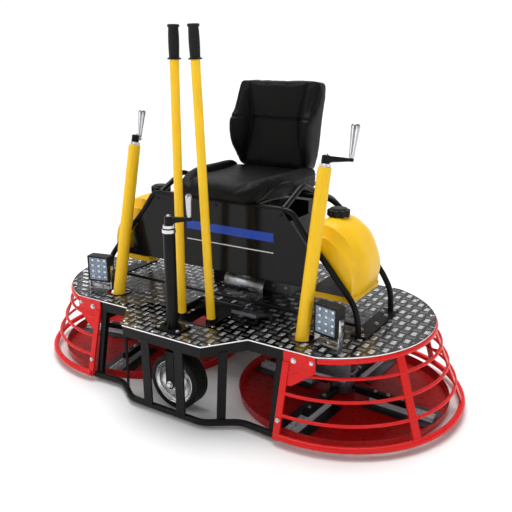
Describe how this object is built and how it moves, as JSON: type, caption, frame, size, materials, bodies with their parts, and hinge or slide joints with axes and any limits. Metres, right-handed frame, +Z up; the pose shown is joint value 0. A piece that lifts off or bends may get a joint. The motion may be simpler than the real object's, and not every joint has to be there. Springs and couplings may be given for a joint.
{
  "type": "ride-on power trowel",
  "caption": "Ride-on concrete power trowel: twin guarded rotors with float pans under a tread-plate deck, seat, side tanks, hand levers, pitch cranks and a jack wheel.",
  "frame": {"origin": "on the floor, midway between the two rotors (bottom centre of the bounding box)", "axes": "+X to the right rotor as seen from the front, -Y the way the operator faces, +Z up"},
  "size_m": [1.9766, 1.112, 1.4478],
  "materials": {
    "black_paint": "satin black powder coat",
    "tread_aluminium": "dark tread plate with raised bars",
    "red_paint": "bright satin red powder coat",
    "pan_red": "deeper red paint",
    "panel_gloss": "glossy black paint",
    "bare_steel": "bright zinc-plated or ground steel",
    "cast_housing": "grey cast housing",
    "engine_alloy": "cast aluminium, dark shroud",
    "belt_rubber": "matte black belt",
    "leatherette": "matte black leatherette with seams",
    "yellow_paint": "satin yellow powder coat",
    "yellow_plastic": "smooth moulded yellow tank",
    "black_plastic": "fine-textured black plastic",
    "grip_rubber": "soft matte black grip",
    "chrome": "polished chrome",
    "polished_rim": "polished dished rim",
    "tyre_rubber": "ribbed black tyre"
  },
  "bodies": {
    "chassis": {"main_frame": "black_paint", "deck_plate": "tread_aluminium", "left_guard": "red_paint", "right_guard": "red_paint", "seat_frame": "black_paint", "front_panel": "panel_gloss", "belt_guard": "bare_steel", "engine": "engine_alloy", "drive_belt": "belt_rubber", "seat_cushion": "leatherette", "seat_backrest": "leatherette", "left_tank": "yellow_plastic", "right_tank": "yellow_plastic", "left_pitch_post": "yellow_paint", "right_pitch_post": "yellow_paint", "front_jack_tube": "black_paint", "rear_jack_tube": "black_paint", "left_lamp_bracket": "bare_steel", "right_lamp_bracket": "bare_steel"},
    "left_lever_arm": {"left_lever": "yellow_paint", "left_grip": "grip_rubber"},
    "right_lever_base": {"right_lever_yoke": "black_paint"},
    "right_lever_arm": {"right_lever": "yellow_paint", "right_grip": "grip_rubber"},
    "left_gearbox_unit": {"left_gearbox": "cast_housing"},
    "right_gimbal_unit": {"right_gimbal": "black_paint"},
    "right_gearbox_unit": {"right_gearbox": "cast_housing"},
    "shaft": {"drive_shaft": "bare_steel"},
    "crankshaft": {"engine_pulley": "engine_alloy"},
    "left_rotor": {"left_spider": "cast_housing"},
    "left_thrust": {"left_thrust_plate": "bare_steel"},
    "left_pan": {"left_float_pan": "pan_red"},
    "left_crank": {"left_pitch_crank": "black_paint"},
    "left_handle": {"left_crank_handle": "chrome"},
    "left_blade_1_unit": {"left_blade_1": "bare_steel"},
    "left_blade_2_unit": {"left_blade_2": "bare_steel"},
    "left_blade_3_unit": {"left_blade_3": "bare_steel"},
    "left_blade_4_unit": {"left_blade_4": "bare_steel"},
    "right_rotor": {"right_spider": "cast_housing"},
    "right_thrust": {"right_thrust_plate": "bare_steel"},
    "right_pan": {"right_float_pan": "pan_red"},
    "right_crank": {"right_pitch_crank": "black_paint"},
    "right_handle": {"right_crank_handle": "chrome"},
    "right_blade_1_unit": {"right_blade_1": "bare_steel"},
    "right_blade_2_unit": {"right_blade_2": "bare_steel"},
    "right_blade_3_unit": {"right_blade_3": "bare_steel"},
    "right_blade_4_unit": {"right_blade_4": "bare_steel"},
    "front_jack_crank_unit": {"front_jack_crank": "black_paint"},
    "front_jack_leg_unit": {"front_jack_leg": "black_paint"},
    "front_wheel_unit": {"front_wheel": "polished_rim", "front_tyre": "tyre_rubber"},
    "rear_jack_crank_unit": {"rear_jack_crank": "black_paint"},
    "rear_jack_leg_unit": {"rear_jack_leg": "black_paint"},
    "rear_wheel_unit": {"rear_wheel": "tyre_rubber"},
    "front_jack_handle_unit": {"front_jack_handle": "chrome"},
    "left_cap": {"left_tank_cap": "black_plastic"},
    "left_lamp_head": {"left_lamp": "black_plastic"},
    "right_cap": {"right_tank_cap": "black_plastic"},
    "right_lamp_head": {"right_lamp": "black_plastic"},
    "pedal": {"foot_pedal": "bare_steel"}
  },
  "joints": [
    {"name": "left_lever_swing", "type": "hinge", "parent": "chassis", "child": "left_lever_arm", "pos_m": [-0.074, -0.326, 0.285], "axis": [1, 0, 0], "range_deg": [-6, 6]},
    {"name": "right_lever_swing", "type": "hinge", "parent": "chassis", "child": "right_lever_base", "pos_m": [0.074, -0.326, 0.285], "axis": [1, 0, 0], "range_deg": [-6, 6]},
    {"name": "right_lever_sway", "type": "hinge", "parent": "right_lever_base", "child": "right_lever_arm", "pos_m": [0.074, -0.326, 0.322], "axis": [0, 1, 0], "range_deg": [-2, 6]},
    {"name": "left_rotor_roll", "type": "hinge", "parent": "chassis", "child": "left_gearbox_unit", "pos_m": [-0.5, 0, 0.255], "axis": [0, 1, 0], "range_deg": [-1.21, 1.21]},
    {"name": "right_rotor_roll", "type": "hinge", "parent": "chassis", "child": "right_gimbal_unit", "pos_m": [0.5, 0, 0.255], "axis": [0, 1, 0], "range_deg": [-1.21, 1.21]},
    {"name": "right_rotor_pitch", "type": "hinge", "parent": "right_gimbal_unit", "child": "right_gearbox_unit", "pos_m": [0.5, 0, 0.255], "axis": [1, 0, 0], "range_deg": [-0.41, 1.21]},
    {"name": "left_rotor_spin", "type": "hinge", "parent": "left_gearbox_unit", "child": "left_rotor", "pos_m": [-0.5, 0, 0.12], "axis": [0, 0, 1], "continuous": true},
    {"name": "right_rotor_spin", "type": "hinge", "parent": "right_gearbox_unit", "child": "right_rotor", "pos_m": [0.5, 0, 0.12], "axis": [0, 0, 1], "continuous": true},
    {"name": "drive_shaft_spin", "type": "hinge", "parent": "chassis", "child": "shaft", "pos_m": [0, 0, 0.205], "axis": [1, 0, 0], "continuous": true},
    {"name": "engine_spin", "type": "hinge", "parent": "chassis", "child": "crankshaft", "pos_m": [-0.025, 0.19, 0.44], "axis": [1, 0, 0], "continuous": true},
    {"name": "left_pitch_crank_turn", "type": "hinge", "parent": "chassis", "child": "left_crank", "pos_m": [-0.457, -0.13702, 0.97191], "axis": [0, 0.2317, 0.9728], "range_deg": [0, 1800]},
    {"name": "left_handle_spin", "type": "hinge", "parent": "left_crank", "child": "left_handle", "pos_m": [-0.50893, -0.05617, 0.95265], "axis": [0, 0.2317, 0.9728], "continuous": true},
    {"name": "left_thrust_slide", "type": "slide", "parent": "left_gearbox_unit", "child": "left_thrust", "axis": [0, 0, -1], "range_m": [0, 0.00301]},
    {"name": "left_pan_slide", "type": "slide", "parent": "left_rotor", "child": "left_pan", "axis": [0, 0, -1], "range_m": [0, 0.01301]},
    {"name": "left_blade_1_pitch", "type": "hinge", "parent": "left_rotor", "child": "left_blade_1_unit", "pos_m": [-0.5, 0, 0.038], "axis": [0.9816, 0.1908, 0], "range_deg": [0, 10.01]},
    {"name": "left_blade_2_pitch", "type": "hinge", "parent": "left_rotor", "child": "left_blade_2_unit", "pos_m": [-0.5, 0, 0.038], "axis": [-0.1908, 0.9816, 0], "range_deg": [0, 10.01]},
    {"name": "left_blade_3_pitch", "type": "hinge", "parent": "left_rotor", "child": "left_blade_3_unit", "pos_m": [-0.5, 0, 0.038], "axis": [-0.9816, -0.1908, 0], "range_deg": [0, 10.01]},
    {"name": "left_blade_4_pitch", "type": "hinge", "parent": "left_rotor", "child": "left_blade_4_unit", "pos_m": [-0.5, 0, 0.038], "axis": [0.1908, -0.9816, 0], "range_deg": [0, 10.01]},
    {"name": "right_pitch_crank_turn", "type": "hinge", "parent": "chassis", "child": "right_crank", "pos_m": [0.457, -0.14096, 0.95537], "axis": [0, 0.2317, 0.9728], "range_deg": [0, 1800]},
    {"name": "right_handle_spin", "type": "hinge", "parent": "right_crank", "child": "right_handle", "pos_m": [0.555, -0.14096, 0.95537], "axis": [0, 0.2317, 0.9728], "continuous": true},
    {"name": "right_thrust_slide", "type": "slide", "parent": "right_gearbox_unit", "child": "right_thrust", "axis": [0, 0, -1], "range_m": [0, 0.00301]},
    {"name": "right_pan_slide", "type": "slide", "parent": "right_rotor", "child": "right_pan", "axis": [0, 0, -1], "range_m": [0, 0.01301]},
    {"name": "right_blade_1_pitch", "type": "hinge", "parent": "right_rotor", "child": "right_blade_1_unit", "pos_m": [0.5, 0, 0.038], "axis": [0.9976, -0.0698, 0], "range_deg": [0, 10.01]},
    {"name": "right_blade_2_pitch", "type": "hinge", "parent": "right_rotor", "child": "right_blade_2_unit", "pos_m": [0.5, 0, 0.038], "axis": [0.0698, 0.9976, 0], "range_deg": [0, 10.01]},
    {"name": "right_blade_3_pitch", "type": "hinge", "parent": "right_rotor", "child": "right_blade_3_unit", "pos_m": [0.5, 0, 0.038], "axis": [-0.9976, 0.0698, 0], "range_deg": [0, 10.01]},
    {"name": "right_blade_4_pitch", "type": "hinge", "parent": "right_rotor", "child": "right_blade_4_unit", "pos_m": [0.5, 0, 0.038], "axis": [-0.0698, -0.9976, 0], "range_deg": [0, 10.01]},
    {"name": "front_jack_crank_turn", "type": "hinge", "parent": "chassis", "child": "front_jack_crank_unit", "pos_m": [0, -0.476, 0.74], "axis": [0, 0, 1], "range_deg": [0, 1440]},
    {"name": "front_jack_lift", "type": "slide", "parent": "chassis", "child": "front_jack_leg_unit", "axis": [0, 0, -1], "range_m": [0, 0.09001]},
    {"name": "front_wheel_roll", "type": "hinge", "parent": "front_jack_leg_unit", "child": "front_wheel_unit", "pos_m": [0, -0.448, 0.12], "axis": [0, 1, 0], "continuous": true},
    {"name": "rear_jack_crank_turn", "type": "hinge", "parent": "chassis", "child": "rear_jack_crank_unit", "pos_m": [0, 0.476, 0.6], "axis": [0, 0, 1], "range_deg": [0, 1440]},
    {"name": "rear_jack_lift", "type": "slide", "parent": "chassis", "child": "rear_jack_leg_unit", "axis": [0, 0, -1], "range_m": [0, 0.09001]},
    {"name": "rear_wheel_roll", "type": "hinge", "parent": "rear_jack_leg_unit", "child": "rear_wheel_unit", "pos_m": [0, 0.448, 0.12], "axis": [0, 1, 0], "continuous": true},
    {"name": "front_jack_handle_spin", "type": "hinge", "parent": "front_jack_crank_unit", "child": "front_jack_handle_unit", "pos_m": [0.0671, -0.44032, 0.782], "axis": [0, 0, 1], "continuous": true},
    {"name": "left_cap_twist", "type": "hinge", "parent": "chassis", "child": "left_cap", "pos_m": [-0.448, 0.012, 0.75], "axis": [0, 0, 1], "range_deg": [0, 90]},
    {"name": "left_lamp_tilt", "type": "hinge", "parent": "chassis", "child": "left_lamp_head", "pos_m": [-0.563, -0.282, 0.438], "axis": [0.9744, 0.225, 0], "range_deg": [-40, 40]},
    {"name": "right_cap_twist", "type": "hinge", "parent": "chassis", "child": "right_cap", "pos_m": [0.448, 0.012, 0.75], "axis": [0, 0, 1], "range_deg": [0, 90]},
    {"name": "right_lamp_tilt", "type": "hinge", "parent": "chassis", "child": "right_lamp_head", "pos_m": [0.563, -0.282, 0.438], "axis": [0.9744, -0.225, 0], "range_deg": [-40, 40]},
    {"name": "pedal_press", "type": "hinge", "parent": "chassis", "child": "pedal", "pos_m": [0.21, -0.2, 0.356], "axis": [1, 0, 0], "range_deg": [0, 9], "stiffness_Nm_per_rad": 4, "springref_deg": -14.32}
  ],
  "couplings": [
    {"joint": "left_rotor_roll", "follows": "left_lever_swing", "ratio": 0.2},
    {"joint": "right_rotor_roll", "follows": "right_lever_swing", "ratio": 0.2},
    {"joint": "right_rotor_pitch", "follows": "right_lever_sway", "ratio": 0.2},
    {"joint": "right_rotor_spin", "follows": "left_rotor_spin", "ratio": -1},
    {"joint": "drive_shaft_spin", "follows": "left_rotor_spin", "ratio": 20},
    {"joint": "engine_spin", "follows": "left_rotor_spin", "ratio": 28},
    {"joint": "left_thrust_slide", "follows": "left_pitch_crank_turn", "m_per_rad": 0.000095493},
    {"joint": "left_pan_slide", "follows": "left_pitch_crank_turn", "m_per_rad": 0.0004138},
    {"joint": "left_blade_1_pitch", "follows": "left_pitch_crank_turn", "ratio": 0.0055556},
    {"joint": "left_blade_2_pitch", "follows": "left_pitch_crank_turn", "ratio": 0.0055556},
    {"joint": "left_blade_3_pitch", "follows": "left_pitch_crank_turn", "ratio": 0.0055556},
    {"joint": "left_blade_4_pitch", "follows": "left_pitch_crank_turn", "ratio": 0.0055556},
    {"joint": "right_thrust_slide", "follows": "right_pitch_crank_turn", "m_per_rad": 0.000095493},
    {"joint": "right_pan_slide", "follows": "right_pitch_crank_turn", "m_per_rad": 0.0004138},
    {"joint": "right_blade_1_pitch", "follows": "right_pitch_crank_turn", "ratio": 0.0055556},
    {"joint": "right_blade_2_pitch", "follows": "right_pitch_crank_turn", "ratio": 0.0055556},
    {"joint": "right_blade_3_pitch", "follows": "right_pitch_crank_turn", "ratio": 0.0055556},
    {"joint": "right_blade_4_pitch", "follows": "right_pitch_crank_turn", "ratio": 0.0055556},
    {"joint": "front_jack_lift", "follows": "front_jack_crank_turn", "m_per_rad": 0.003581},
    {"joint": "rear_jack_lift", "follows": "rear_jack_crank_turn", "m_per_rad": 0.003581}
  ]
}
